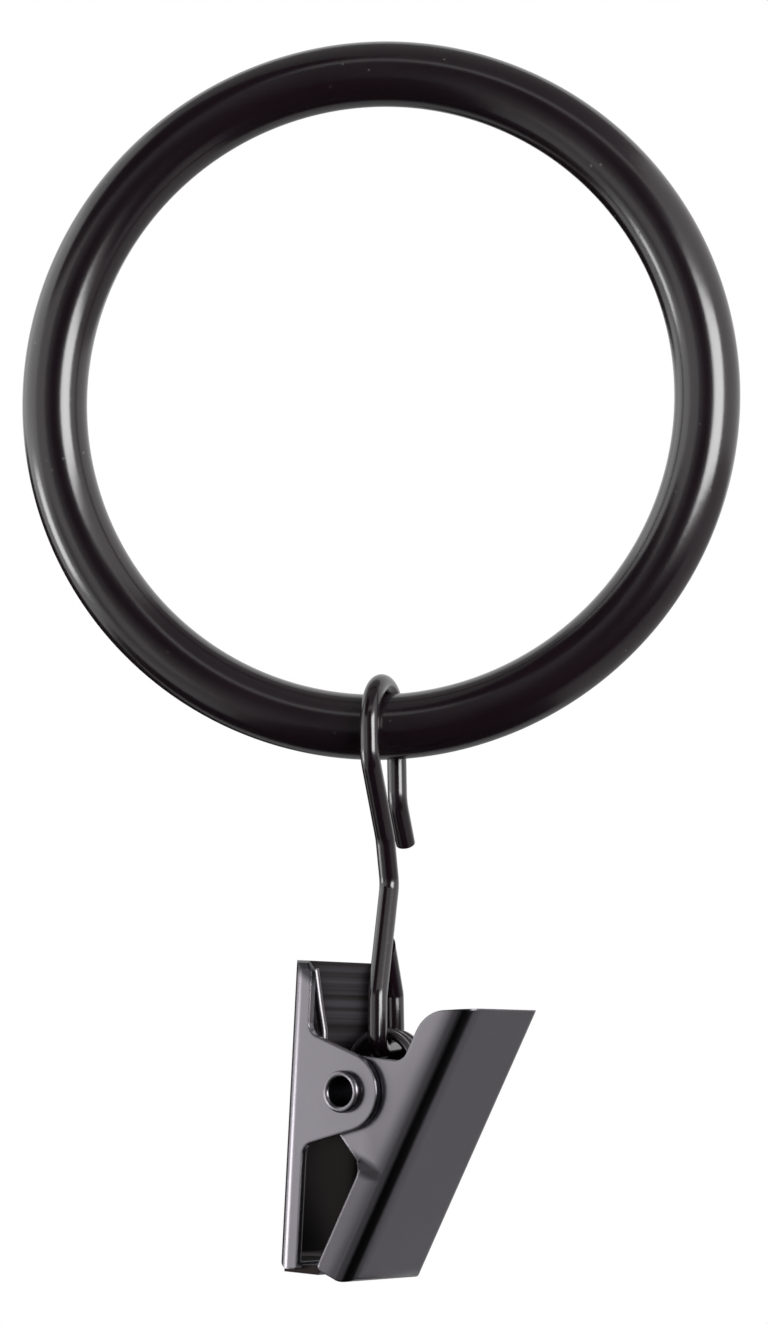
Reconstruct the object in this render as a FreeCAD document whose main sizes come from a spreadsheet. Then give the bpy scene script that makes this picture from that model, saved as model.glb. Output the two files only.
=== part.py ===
"""Curtain ring with clip: a steel ring, a bent wire hook and a sprung two-jaw clip.

Millimetres. X runs along the curtain rod's cross direction, Y along the rod, Z up.
The origin is the centre of the ring. The hook hangs on the lowest point of the ring,
and the clip hangs on the hook by the coil of its own torsion spring.
"""
import FreeCAD
import Part
import Sketcher
import math
import os

doc = FreeCAD.newDocument("curtain_ring_clip")

# Driving sizes: name, value, meaning. Lengths in millimetres, angles in degrees.
SIZES = [
    ("ring_bore", 38.1, "clear inside diameter of the ring"),
    ("ring_stock", 4.2, "diameter of the round bar of the ring"),
    ("hook_stock", 1.25, "diameter of the hook wire"),
    ("hook_turn", 10.5, "angle from the rod direction to the plane of the hook"),
    ("hook_side_gap", 0.12, "play between the hook arch and the ring bar, each side"),
    ("hook_seat_gap", 0.05, "gap between the arch and the inside of the ring"),
    ("arch_flat", 0.003, "half of the flat at the top of the arch"),
    ("back_run", 4.6, "straight run of the free arm below the arch"),
    ("tip_out", 1.65, "outward flare of the free arm"),
    ("tip_drop", 2.7, "height of the flared end"),
    ("front_run", 2.0, "straight run of the loaded arm below the arch"),
    ("waist_shift", 0.05, "in-plane place of the upper soft bend"),
    ("waist_drop", 7.0, "drop of the upper soft bend below the arch centre"),
    ("knee_shift", 0.85, "in-plane place of the knee bend"),
    ("knee_drop", 9.95, "drop of the knee bend below the arch centre"),
    ("shoulder_drop", 17.0, "drop of the shoulders of the eye below the arch centre"),
    ("eye_drop", 20.4, "drop of the bottom bar of the eye below the arch centre"),
    ("eye_shift", -0.5, "in-plane place of the middle of the eye"),
    ("eye_taper", 0.25, "inward lean of the loaded leg of the eye at its shoulder"),
    ("eye_side_gap", 0.39, "play between each leg of the eye and the coil"),
    ("neck_gap", 0.02, "gap where the end of the eye lies on the loaded arm"),
    ("neck_share", 0.333, "share of the loaded arm below the knee where the end of the eye aims"),
    ("neck_tip", 1.5, "length of the sheared end of the eye along its own line"),
    ("bend_hook", 2.2, "centre-line radius of the soft bends"),
    ("bend_knee", 1.6, "centre-line radius of the knee bend"),
    ("bend_eye", 0.9, "centre-line radius of the bends of the eye"),
    ("spring_stock", 0.58, "diameter of the spring wire"),
    ("spring_pitch", 0.61, "axial pitch of the coil"),
    ("spring_bore", 4.62, "inside diameter of the coil"),
    ("spring_rounds", 3.0, "whole rounds of the coil between its legs"),
    ("spring_web_gap", 0.04, "gap between a spring leg and the web that it presses on"),
    ("spring_reach", 7.5, "height of the end of each spring leg along its jaw"),
    ("leg_flange_gap", 0.67, "gap between the end of a spring leg and the flange beside it"),
    ("spring_knee", 2.7, "height of the sideways bend of each spring leg above the coil centre"),
    ("leg_lean", 0.45, "sideways lean of a spring leg between that bend and its end"),
    ("leg_steps", 4, "guide points along each spring leg"),
    ("coil_steps", 16, "guide points in each round of the coil"),
    ("coil_blend", 0.5, "length of coil at each end that blends into a leg"),
    ("hang_gap", 0.12, "gap between the bottom bar of the eye and the coil above it"),
    ("seat_gap", 0.05, "gap between the coil and the underside of the rivet"),
    ("rivet_stock", 2.3, "outside diameter of the rivet barrel"),
    ("rivet_bore", 1.84, "inside diameter of the rivet barrel"),
    ("rivet_head", 2.64, "outside diameter of the rolled head"),
    ("rivet_rise", 0.52, "height of the rolled head"),
    ("rivet_roll", 0.19, "edge radius of the rolled head"),
    ("pin_gap", 0.05, "play between the rivet barrel and the holes, each side"),
    ("gauge", 0.5, "thickness of the jaw sheet"),
    ("outer_bend", 1.0, "outside radius of the bends of the outer jaw"),
    ("inner_bend", 1.2, "outside radius of the bends of the inner jaw"),
    ("ear_gap", 0.08, "side play between the ears of the two jaws"),
    ("jaw_width", 9.42, "outside width of the clip"),
    ("lower_ease", 0.5, "amount by which the inner jaw's mouth is narrower than the clip"),
    ("clip_turn", 27.9, "angle from the rod direction to the rivet axis"),
    ("clip_tilt", 2.8, "fall of the rivet axis away from level"),
    ("outer_lean", 2.72, "lean of the outer jaw from upright"),
    ("outer_web", 4.63, "distance of the outer web face from the rivet axis"),
    ("outer_rise", 8.03, "height of the outer jaw above the rivet axis"),
    ("outer_fall", 11.3, "depth of the outer jaw below the rivet axis"),
    ("outer_edge", 2.98, "distance of the flange edges from the rivet axis"),
    ("outer_ear", 2.44, "radius of the ears of the outer jaw"),
    ("outer_slope", 17.8, "slope of the ears of the outer jaw"),
    ("inner_lean", 27.4, "lean of the inner jaw from upright"),
    ("inner_web", 5.7, "distance of the outer face of the inner jaw from the rivet axis"),
    ("inner_rise", 8.83, "height of the inner jaw above the rivet axis"),
    ("inner_fall", 10.82, "depth of the inner jaw below the rivet axis"),
    ("inner_edge", 2.68, "distance of the handle flange edges from the rivet axis"),
    ("mouth_edge", 3.17, "distance of the mouth flange edges from the rivet axis"),
    ("inner_ear", 2.3, "radius of the ears of the inner jaw"),
    ("inner_slope", 22.0, "slope of the ears of the inner jaw"),
    ("step_top", 3.0, "start of the sideways step of the inner jaw below the rivet axis"),
    ("step_length", 1.1, "length of the sideways step"),
    ("step_ease", 0.12, "share of the sideways step in its first and in its last run"),
    ("step_share", 0.3, "share of the step's length in its first and in its last run"),
    ("flare_land", 0.1, "straight run of the mouth flanges between their bend and their flare"),
    ("outer_land", 0.12, "flat run of the outer handle end between its bend and its slope"),
    ("outer_cut", 51, "slope of the handle end of the outer jaw's flanges"),
    ("inner_cut", 30.5, "slope of the handle end of the inner jaw's flanges"),
    ("corner_share", 0.3, "share of that run where its two flats meet"),
    ("handle_corner", 0.55, "run of the rounded corners of the handle ends, seen from the front"),
    ("outer_round", 0.7, "corner radius of the outer jaw's flange ends at the handle"),
    ("inner_round", 2.4, "corner radius of the inner jaw's flange ends at the handle"),
    ("ear_round", 0.85, "radius of the inside corners beside the ears"),
    ("mouth_round", 0.4, "corner radius of the flange ends at the mouth"),
    ("lip_drop", 0.25, "drop of the gripping lip below the outer web"),
    ("lip_side_gap", 0.2, "gap between the lip and the flanges of the outer jaw"),
    ("mouth_gap", 0.12, "gap between the closed lips"),
    ("tooth_pitch", 1.3, "pitch of the teeth of the lips"),
    ("tooth_depth", 0.35, "depth of the notches between the teeth"),
    ("tooth_count", 5, "number of notches in each lip"),
]

sheet = doc.addObject("Spreadsheet::Sheet", "Sizes")
for row, (alias, amount, meaning) in enumerate(SIZES, start=1):
    sheet.set("A%d" % row, alias)
    sheet.set("B%d" % row, str(amount))
    sheet.set("C%d" % row, meaning)
    sheet.setAlias("B%d" % row, alias)
doc.recompute()


class Size:
    """A number together with the sheet expression that it comes from."""

    def __init__(self, value, text):
        self.value = float(value)
        self.text = text

    @staticmethod
    def of(other):
        return other if isinstance(other, Size) else Size(other, repr(other))

    def join(self, sign, other, value):
        return Size(value, "(%s %s %s)" % (self.text, sign, other.text))

    def __add__(self, other):
        other = Size.of(other)
        return self.join("+", other, self.value + other.value)

    def __sub__(self, other):
        other = Size.of(other)
        return self.join("-", other, self.value - other.value)

    def __mul__(self, other):
        other = Size.of(other)
        return self.join("*", other, self.value * other.value)

    def __truediv__(self, other):
        other = Size.of(other)
        return self.join("/", other, self.value / other.value)

    def __neg__(self):
        return Size(-self.value, "(0 - %s)" % self.text)


def named(alias):
    """The size kept under this name in the sheet."""
    return Size(sheet.get(alias), "Sizes.%s" % alias)


def sine(angle):
    return Size(math.sin(math.radians(angle.value)), "sin(%s * 1 deg)" % angle.text)


def cosine(angle):
    return Size(math.cos(math.radians(angle.value)), "cos(%s * 1 deg)" % angle.text)


def tangent(angle):
    return Size(math.tan(math.radians(angle.value)), "tan(%s * 1 deg)" % angle.text)


def bind(thing, prop, size):
    thing.setExpression(prop, size.text)


def half(size):
    return size / 2


def vec(x, y, z):
    return FreeCAD.Vector(x, y, z)


def turn(axis, angle):
    return FreeCAD.Rotation(axis, angle)


AXIS_X = vec(1, 0, 0)
AXIS_Y = vec(0, 1, 0)
AXIS_Z = vec(0, 0, 1)
WHOLE, START, END, CENTRE = range(len("edge start end centre".split()))
ORIGIN = -START

gauge = named("gauge")
jaw_width = named("jaw_width")
narrow_width = jaw_width - gauge * 2 - named("ear_gap") * 2
mouth_width = jaw_width - named("lower_ease")

# Places that follow from the sizes. The plane of the hook holds s (towards its free arm) and Z.
ring_bore = sheet.ring_bore
wire = sheet.hook_stock
bar_across = sheet.ring_stock / math.cos(math.radians(sheet.hook_turn))
arch_radius = bar_across / 2 + sheet.hook_side_gap + wire / 2
arch_z = -ring_bore / 2 + sheet.hook_seat_gap + wire / 2 - arch_radius
eye_z = arch_z - sheet.eye_drop
coil_inner = sheet.spring_bore / 2
coil_radius = coil_inner + sheet.spring_stock / 2
coil_lift = coil_inner - sheet.rivet_stock / 2 - sheet.seat_gap
eye_lift = coil_lift + coil_inner - wire / 2 - sheet.hang_gap
hook_dir = vec(math.sin(math.radians(sheet.hook_turn)), math.cos(math.radians(sheet.hook_turn)), 0)
pivot = hook_dir * sheet.eye_shift + vec(0, 0, eye_z - eye_lift)
clip_turn = turn(AXIS_Z, -sheet.clip_turn).multiply(turn(AXIS_X, -sheet.clip_tilt))
clip_place = FreeCAD.Placement(pivot, clip_turn)


def leaning(angle):
    """Placement of a jaw: the clip's own, leaned about the rivet axis."""
    return clip_place.multiply(FreeCAD.Placement(vec(0, 0, 0), turn(AXIS_Y, angle)))


def new_body(name):
    body = doc.addObject("PartDesign::Body", name)
    body.Label = name
    return body


def new_sketch(body, name, role, lift=None):
    """Sketch on one of the body's own origin planes, moved along its normal by lift."""
    sketch = body.newObject("Sketcher::SketchObject", name)
    plane = [f for f in body.Origin.OriginFeatures if f.Role == role][0]
    sketch.AttachmentSupport = (plane, [""])
    sketch.MapMode = "FlatFace"
    if lift is not None:
        bind(sketch, "AttachmentOffset.Base.z", lift)
    return sketch


def pin_point(sketch, geo, end, x, y):
    """Hold one end of a line at (x, y), both bound to the sheet."""
    for kind, size in (("DistanceX", x), ("DistanceY", y)):
        index = sketch.addConstraint(
            Sketcher.Constraint(kind, ORIGIN, START, geo, end, size.value))
        bind(sketch, "Constraints[%d]" % index, size)


def polygon(sketch, corners):
    """Closed outline of straight lines with every corner bound to the sheet."""
    first = sketch.GeometryCount
    points = [vec(x.value, y.value, 0) for x, y in corners]
    count = len(points)
    for i in range(count):
        sketch.addGeometry(Part.LineSegment(points[i], points[(i + 1) % count]), False)
    for i in range(count):
        after = first + (i + 1) % count
        sketch.addConstraint(Sketcher.Constraint("Coincident", first + i, END, after, START))
    for i, (x, y) in enumerate(corners):
        pin_point(sketch, first + i, START, x, y)


def circle(sketch, radius):
    """Circle about the sketch origin."""
    geo = sketch.addGeometry(Part.Circle(vec(0, 0, 0), AXIS_Z, radius.value), False)
    sketch.addConstraint(Sketcher.Constraint("Coincident", geo, CENTRE, ORIGIN, START))
    index = sketch.addConstraint(Sketcher.Constraint("Radius", geo, radius.value))
    bind(sketch, "Constraints[%d]" % index, radius)


def jaw_block(body, name, side, web, ear, rise, fall, width):
    """Block that holds a jaw: its web side is finished, the other sides are cut to the outline."""
    sketch = new_sketch(body, name + "_base", "XY_Plane", -fall)
    back = web * side
    front = -(ear + gauge) * side
    polygon(sketch, [
        (back, -half(width)),
        (front, -half(width)),
        (front, half(width)),
        (back, half(width)),
    ])
    return pad(body, sketch, name, rise + fall)


def jaw_outline(sketch, side, web, rise, fall, edge, mouth, ear, slope, cut_from, cut):
    """Outline of what is cut from the side of a jaw block.

    It follows the handle end, the flange edges and a round ear with two tangent slopes.
    side is -1 where the web lies on the left of the rivet axis and 1 on the right, and
    cut_from is where the handle end, slanted by cut, leaves full height.
    """
    sin_a, cos_a = sine(slope), cosine(slope)
    upper = (ear + edge * sin_a) / cos_a
    lower = (ear + mouth * sin_a) / cos_a
    crown = rise - (cut_from - edge) * tangent(cut)
    touch_x = ear * sin_a * -side
    touch_z = ear * cos_a
    brow = (edge * side, upper)
    ear_top = (touch_x, touch_z)
    ear_foot = (touch_x, -touch_z)
    run = [
        (cut_from * side, rise + gauge),
        (cut_from * side, rise),
        (edge * side, crown),
        brow,
        ear_top,
        ear_foot,
        (mouth * side, -lower),
        (mouth * side, -fall - gauge),
        (web * -side, -fall - gauge),
        (web * -side, rise + gauge),
    ]
    points = [vec(x.value, z.value, 0) for x, z in run]
    count = len(points)
    upper_slope, arc_at, lower_slope = [run.index(corner) for corner in (brow, ear_top, ear_foot)]
    for i in range(count):
        a, b = points[i], points[(i + 1) % count]
        if i == arc_at:
            sketch.addGeometry(Part.Arc(a, vec(-side * ear.value, 0, 0), b), False)
        else:
            sketch.addGeometry(Part.LineSegment(a, b), False)
    # An arc runs anticlockwise, so its ends change places on the outer jaw.
    swapped = side < 0

    def tail(i):
        return START if (i == arc_at and swapped) else END

    def head(i):
        return END if (i == arc_at and swapped) else START

    for i in range(count):
        j = (i + 1) % count
        sketch.addConstraint(Sketcher.Constraint("Coincident", i, tail(i), j, head(j)))
    sketch.addConstraint(Sketcher.Constraint("Coincident", arc_at, CENTRE, ORIGIN, START))
    for i, (x, z) in enumerate(run):
        if i == arc_at or i == lower_slope:
            continue
        pin_point(sketch, i, START, x, z)
    x, z = ear_top
    pin_point(sketch, upper_slope, END, x, z)
    index = sketch.addConstraint(
        Sketcher.Constraint("DistanceY", ORIGIN, START, lower_slope, START, -touch_z.value))
    bind(sketch, "Constraints[%d]" % index, -touch_z)


def pad(body, sketch, name, length, both=False, back=False):
    feature = body.newObject("PartDesign::Pad", name)
    feature.Profile = sketch
    bind(feature, "Length", length)
    if both:
        feature.SideType = "Symmetric"
    feature.Reversed = back
    doc.recompute()
    return feature


def pocket(body, sketch, name, back=False, both=False, depth=None):
    """Cut that is required to take material away."""
    before = body.Shape.Volume
    feature = body.newObject("PartDesign::Pocket", name)
    feature.Profile = sketch
    if depth is None:
        feature.Type = "ThroughAll"
    else:
        bind(feature, "Length", depth)
    if both:
        feature.SideType = "Symmetric"
    feature.Reversed = back
    doc.recompute()
    if body.Shape.Volume >= before:
        raise RuntimeError("%s cuts nothing" % name)
    return feature


# Tests that pick edges: how close an edge lies to a place, and how parallel to an axis.
NEAR = gauge.value / 10
PARALLEL = math.cos(math.radians(1))


def edges_along(shape, axis, place, reach):
    """Names of the straight edges parallel to axis that pass within reach of place."""
    found = []
    for number, edge in enumerate(shape.Edges, start=1):
        if edge.Degenerated or edge.Curve.TypeId != "Part::GeomLine":
            continue
        a, b = edge.Vertexes[0].Point, edge.Vertexes[-1].Point
        run = b - a
        if run.Length == 0 or abs(run.normalize() * axis) < PARALLEL:
            continue
        gap = a - place
        gap = gap - axis * (gap * axis)
        if gap.Length < reach:
            found.append("Edge%d" % number)
    return found


def fillet(body, base, name, names, radius):
    feature = body.newObject("PartDesign::Fillet", name)
    feature.Base = (base, names)
    bind(feature, "Radius", radius)
    doc.recompute()
    return feature


def corner_rounds(body, base, name, places, radius):
    """Round the cross edges of a jaw blank that pass the given (x, z) places."""
    names = []
    for x, z in places:
        names += edges_along(base.Shape, AXIS_Y, vec(x, 0, z), NEAR)
    return fillet(body, base, name, names, radius)


def web_edges(shape, web_x, foot_z):
    """Names of the edges round a web: its long sides, stepped or straight, and its foot."""
    names = edges_along(shape, AXIS_Y, vec(web_x, 0, foot_z), NEAR)
    for number, edge in enumerate(shape.Edges, start=1):
        ends = [v.Point for v in edge.Vertexes]
        if len(ends) == 2 and all(abs(p.x - web_x) < NEAR for p in ends):
            if ends[0].y * ends[1].y > 0 and abs(ends[0].z - ends[1].z) > NEAR:
                names.append("Edge%d" % number)
    return names


def handle_corners(body, name, rise, width, reach):
    """Cut the two upper corners of a handle, each in two flats, seen from the front."""
    sketch = new_sketch(body, name + "_shape", "YZ_Plane")
    run = named("handle_corner")
    near = run * named("corner_share")
    for sign in (-1, 1):
        side = half(width)
        polygon(sketch, [
            ((side - run) * sign, rise + run),
            ((side - run) * sign, rise),
            ((side - near) * sign, rise - near),
            (side * sign, rise - run),
            ((side + run) * sign, rise - run),
            ((side + run) * sign, rise + run),
        ])
    return pocket(body, sketch, name, both=True, depth=reach)


def teeth(body, name, edge_x, tip_x, wide_x, foot, top, shift):
    """Row of notches cut into the edge of a lip."""
    sketch = new_sketch(body, name + "_shape", "XY_Plane", foot)
    pitch = named("tooth_pitch")
    middle = pitch * shift
    polygon(sketch, [
        (wide_x, middle - half(pitch)),
        (tip_x, middle),
        (wide_x, middle + half(pitch)),
    ])
    notch = pocket(body, sketch, name, back=True, depth=top)
    row = body.newObject("PartDesign::LinearPattern", name + "_row")
    row.Originals = [notch]
    row.Direction = ([f for f in body.Origin.OriginFeatures if f.Role == "Y_Axis"][0], [""])
    bind(row, "Length", pitch * (named("tooth_count") - 1))
    bind(row, "Occurrences", named("tooth_count"))
    body.Tip = row
    doc.recompute()
    return row


# Ring: one round bar closed into a circle, standing across the rod direction.
ring = doc.addObject("Part::Torus", "ring")
ring.Label = "ring"
bind(ring, "Radius1", half(named("ring_bore") + named("ring_stock")))
bind(ring, "Radius2", half(named("ring_stock")))
ring.Placement = FreeCAD.Placement(vec(0, 0, 0), turn(AXIS_X, 90))
doc.recompute()

# Outer jaw: a channel with ears outside the other jaw's, and a toothed lip at the mouth.
outer = new_body("outer_jaw")
outer_web, outer_rise, outer_fall = named("outer_web"), named("outer_rise"), named("outer_fall")
outer_edge = named("outer_edge")
block = jaw_block(outer, "outer_block", -1, outer_web, named("outer_ear"), outer_rise, outer_fall,
                  jaw_width)
fillet(outer, block, "outer_bends", web_edges(block.Shape, -outer_web.value, -outer_fall.value),
       named("outer_bend"))
cut_run = outer_web - named("outer_bend") - named("outer_land") - outer_edge
side = new_sketch(outer, "outer_side", "XZ_Plane")
jaw_outline(side, -1, outer_web, outer_rise, outer_fall, outer_edge, outer_edge,
            named("outer_ear"), named("outer_slope"), cut_run + outer_edge, named("outer_cut"))
blank = pocket(outer, side, "outer_blank", both=True, depth=jaw_width * 2)
slope_rise = ((named("outer_ear") + outer_edge * sine(named("outer_slope")))
              / cosine(named("outer_slope"))).value
crown_z = (outer_rise - cut_run * tangent(named("outer_cut"))).value
x_edge = -outer_edge.value
blank = corner_rounds(outer, blank, "outer_ear_corners",
                      [(x_edge, slope_rise), (x_edge, -slope_rise)], named("ear_round"))
blank = corner_rounds(outer, blank, "outer_handle_corners", [(x_edge, crown_z)], named("outer_round"))
blank = corner_rounds(outer, blank, "outer_mouth_corners", [(x_edge, -outer_fall.value)],
                      named("mouth_round"))
handle_corners(outer, "outer_corners", outer_rise, jaw_width, outer_web * 4)
hollow = new_sketch(outer, "outer_hollow_shape", "YZ_Plane", gauge - outer_web)
inside = half(jaw_width) - gauge
polygon(hollow, [
    (-inside, gauge - outer_fall),
    (inside, gauge - outer_fall),
    (inside, outer_rise * 2),
    (-inside, outer_rise * 2),
])
scoop = pocket(outer, hollow, "outer_hollow", back=True)
fillet(outer, scoop, "outer_inside_bends",
       web_edges(scoop.Shape, (gauge - outer_web).value, (gauge - outer_fall).value),
       named("outer_bend") - gauge)
lean_in, lean_out = named("inner_lean"), named("outer_lean")
mouth_edge, inner_fall = named("mouth_edge"), named("inner_fall")
meet_u = mouth_edge * cosine(lean_in) - inner_fall * sine(lean_in)
meet_z = -(inner_fall * cosine(lean_in)) - mouth_edge * sine(lean_in)
lip_x = meet_u * cosine(lean_out) - meet_z * sine(lean_out) - named("mouth_gap")
lip_foot = -outer_fall - named("lip_drop")
lip = new_sketch(outer, "outer_lip_shape", "XY_Plane", lip_foot)
lip_half = inside - named("lip_side_gap")
polygon(lip, [
    (half(gauge) - outer_web, -lip_half),
    (lip_x, -lip_half),
    (lip_x, lip_half),
    (half(gauge) - outer_web, lip_half),
])
pad(outer, lip, "outer_lip", gauge)
hole = new_sketch(outer, "outer_hole_shape", "XZ_Plane")
pin_hole = half(named("rivet_stock")) + named("pin_gap")
circle(hole, pin_hole)
pocket(outer, hole, "outer_hole", both=True, depth=jaw_width * 2)
teeth(outer, "outer_teeth", lip_x, lip_x - named("tooth_depth"), lip_x + named("tooth_depth"),
      lip_foot, gauge, -half(named("tooth_count") - 1))
outer.Placement = leaning(sheet.outer_lean)

# Inner jaw: narrow between its straight folds. Its mouth flanges step out below the ears and flare
# away from the folds, so that their edges line up with the outer jaw.
inner = new_body("inner_jaw")
inner_web, inner_rise = named("inner_web"), named("inner_rise")
inner_edge = named("inner_edge")
block = jaw_block(inner, "inner_block", 1, inner_web, named("inner_ear"), inner_rise, inner_fall,
                  narrow_width)
fillet(inner, block, "inner_bends", web_edges(block.Shape, inner_web.value, -inner_fall.value),
       named("inner_bend"))
step_top = -named("step_top")
step_foot = step_top - named("step_length")
flare_from = inner_web - named("inner_bend") - named("flare_land")
flare_to = mouth_edge - gauge
flare_out = (half(mouth_width) - half(narrow_width)) / (flare_from - mouth_edge) * (flare_from - flare_to)


def flare(body, name, base, foot):
    """Sketch of the two wedges between the plain flanges at base and the flared ones."""
    sketch = new_sketch(body, name, "XY_Plane", foot)
    for sign in (-1, 1):
        polygon(sketch, [
            (flare_from, base * sign),
            (flare_to, (base + flare_out) * sign),
            (flare_to, base * sign),
        ])
    return sketch


pad(inner, flare(inner, "inner_flare_shape", half(narrow_width), -inner_fall), "inner_flare",
    inner_fall + step_top)
flank = new_sketch(inner, "inner_step_shape", "YZ_Plane")
ease = (half(mouth_width) - half(narrow_width)) * named("step_ease")
run = named("step_length") * named("step_share")
for sign in (-1, 1):
    slim = half(narrow_width)
    wide = half(mouth_width)
    clear = mouth_width * sign
    polygon(flank, [
        (slim * sign, inner_rise * 2),
        (slim * sign, step_top),
        ((slim + ease) * sign, step_top - run),
        ((wide - ease) * sign, step_foot + run),
        (wide * sign, step_foot),
        (clear, step_foot),
        (clear, inner_rise * 2),
    ])
pocket(inner, flank, "inner_step", both=True, depth=inner_web * 4)
side = new_sketch(inner, "inner_side", "XZ_Plane")
jaw_outline(side, 1, inner_web, inner_rise, inner_fall, inner_edge, mouth_edge,
            named("inner_ear"), named("inner_slope"), inner_web, named("inner_cut"))
blank = pocket(inner, side, "inner_blank", both=True, depth=jaw_width * 2)
slope_sin, slope_cos = sine(named("inner_slope")), cosine(named("inner_slope"))
upper_z = ((named("inner_ear") + inner_edge * slope_sin) / slope_cos).value
lower_z = ((named("inner_ear") + mouth_edge * slope_sin) / slope_cos).value
crown_z = (inner_rise - (inner_web - inner_edge) * tangent(named("inner_cut"))).value
x_edge = inner_edge.value
blank = corner_rounds(inner, blank, "inner_ear_corners",
                      [(x_edge, upper_z), (mouth_edge.value, -lower_z)], named("ear_round"))
blank = corner_rounds(inner, blank, "inner_handle_corners", [(x_edge, crown_z)], named("inner_round"))
blank = corner_rounds(inner, blank, "inner_mouth_corners",
                      [(mouth_edge.value, -inner_fall.value)], named("mouth_round"))
hollow = new_sketch(inner, "inner_hollow_shape", "YZ_Plane", inner_web - gauge)
slim = half(narrow_width) - gauge
polygon(hollow, [
    (-slim, gauge - inner_fall),
    (slim, gauge - inner_fall),
    (slim, inner_rise * 2),
    (-slim, inner_rise * 2),
])
scoop = pocket(inner, hollow, "inner_hollow")
fillet(inner, scoop, "inner_inside_bends",
       web_edges(scoop.Shape, (inner_web - gauge).value, (gauge - inner_fall).value),
       named("inner_bend") - gauge)
pocket(inner, flare(inner, "inner_flare_hollow_shape", slim, gauge - inner_fall), "inner_flare_hollow",
       back=True, depth=inner_fall - gauge + step_foot)
hole = new_sketch(inner, "inner_hole_shape", "XZ_Plane")
circle(hole, pin_hole)
pocket(inner, hole, "inner_hole", both=True, depth=jaw_width * 2)
teeth(inner, "inner_teeth", mouth_edge, mouth_edge + named("tooth_depth"),
      mouth_edge - named("tooth_depth"), -inner_fall, gauge, -half(named("tooth_count") - 1))
inner.Placement = leaning(sheet.inner_lean)

# Rivet: a tube through all four ears with both ends rolled over the outer jaw.
rivet = new_body("tubular_rivet")
section = new_sketch(rivet, "rivet_section", "XY_Plane")
bore, barrel = half(named("rivet_bore")), half(named("rivet_stock"))
head, seat = half(named("rivet_head")), half(jaw_width)
end = seat + named("rivet_rise")
polygon(section, [
    (bore, -end), (head, -end), (head, -seat), (barrel, -seat),
    (barrel, seat), (head, seat), (head, end), (bore, end),
])
spin = rivet.newObject("PartDesign::Revolution", "rivet_turned")
spin.Profile = section
spin.ReferenceAxis = (section, ["V_Axis"])
spin.Angle = 360
doc.recompute()
rims = []
for number, edge in enumerate(spin.Shape.Edges, start=1):
    spot = edge.Vertexes[0].Point
    if edge.Curve.TypeId == "Part::GeomCircle" and abs(abs(spot.y) - end.value) < NEAR:
        rims.append("Edge%d" % number)
fillet(rivet, spin, "rivet_roll", rims, named("rivet_roll"))
rivet.Placement = clip_place


def wire_path(points, radii):
    """Wire of straight runs joined by tangent arcs; radii are for the inner points."""
    edges = []
    at = points[0]
    for i in range(1, len(points) - 1):
        corner, after = points[i], points[i + 1]
        back = (at - corner).normalize()
        ahead = (after - corner).normalize()
        bend = math.pi - back.getAngle(ahead)
        trim = radii[i - 1] * math.tan(bend / 2)
        a, b = corner + back * trim, corner + ahead * trim
        middle = (back + ahead).normalize()
        rise = radii[i - 1] / math.cos(bend / 2) - radii[i - 1]
        edges.append(Part.LineSegment(at, a).toShape())
        edges.append(Part.Arc(a, corner + middle * rise, b).toShape())
        at = b
    edges.append(Part.LineSegment(at, points[-1]).toShape())
    return Part.Wire(edges)


def round_bar(path, start, along, radius, planar):
    """Round bar swept along a path."""
    ring_edge = Part.Circle(start, along, radius).toShape()
    sweep = Part.BRepOffsetAPI.MakePipeShell(path)
    sweep.setFrenetMode(planar)
    sweep.add(Part.Wire([ring_edge]))
    sweep.build()
    sweep.makeSolid()
    return sweep.shape()


# Hook: one wire bent in one plane. The arch hangs on the ring, the free arm ends in a flare,
# the loaded arm runs down to a closed eye whose bottom bar goes through the coil.
def in_hook(s, z):
    return hook_dir * s + vec(0, 0, z)


leg_pitch = sheet.spring_pitch * (sheet.spring_rounds - 1) + sheet.spring_stock + wire
leg_pitch += 2 * sheet.eye_side_gap
near_leg = sheet.eye_shift - leg_pitch / 2
far_leg = sheet.eye_shift + leg_pitch / 2
shoulder_z = arch_z - sheet.shoulder_drop
back_foot = arch_z - sheet.back_run
knee = in_hook(sheet.knee_shift, arch_z - sheet.knee_drop)
shoulder = in_hook(near_leg + sheet.eye_taper, shoulder_z)
far_shoulder = in_hook(far_leg, shoulder_z)
arm_dir = (shoulder - knee).normalize()
arm_side = vec(0, 0, 1).cross(arm_dir).cross(arm_dir).normalize()
if arm_side * hook_dir < 0:
    arm_side = arm_side * -1
# The far leg leans in towards the loaded arm and stops where it would touch it.
neck_aim = knee + arm_dir * (sheet.eye_drop - sheet.knee_drop) * sheet.neck_share
neck_dir = (neck_aim - far_shoulder).normalize()
start_gap = (far_shoulder - knee) * arm_side
closing = -(neck_dir * arm_side)
neck_run = (start_gap - wire - sheet.neck_gap) / closing
neck_end = far_shoulder + neck_dir * neck_run

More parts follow.
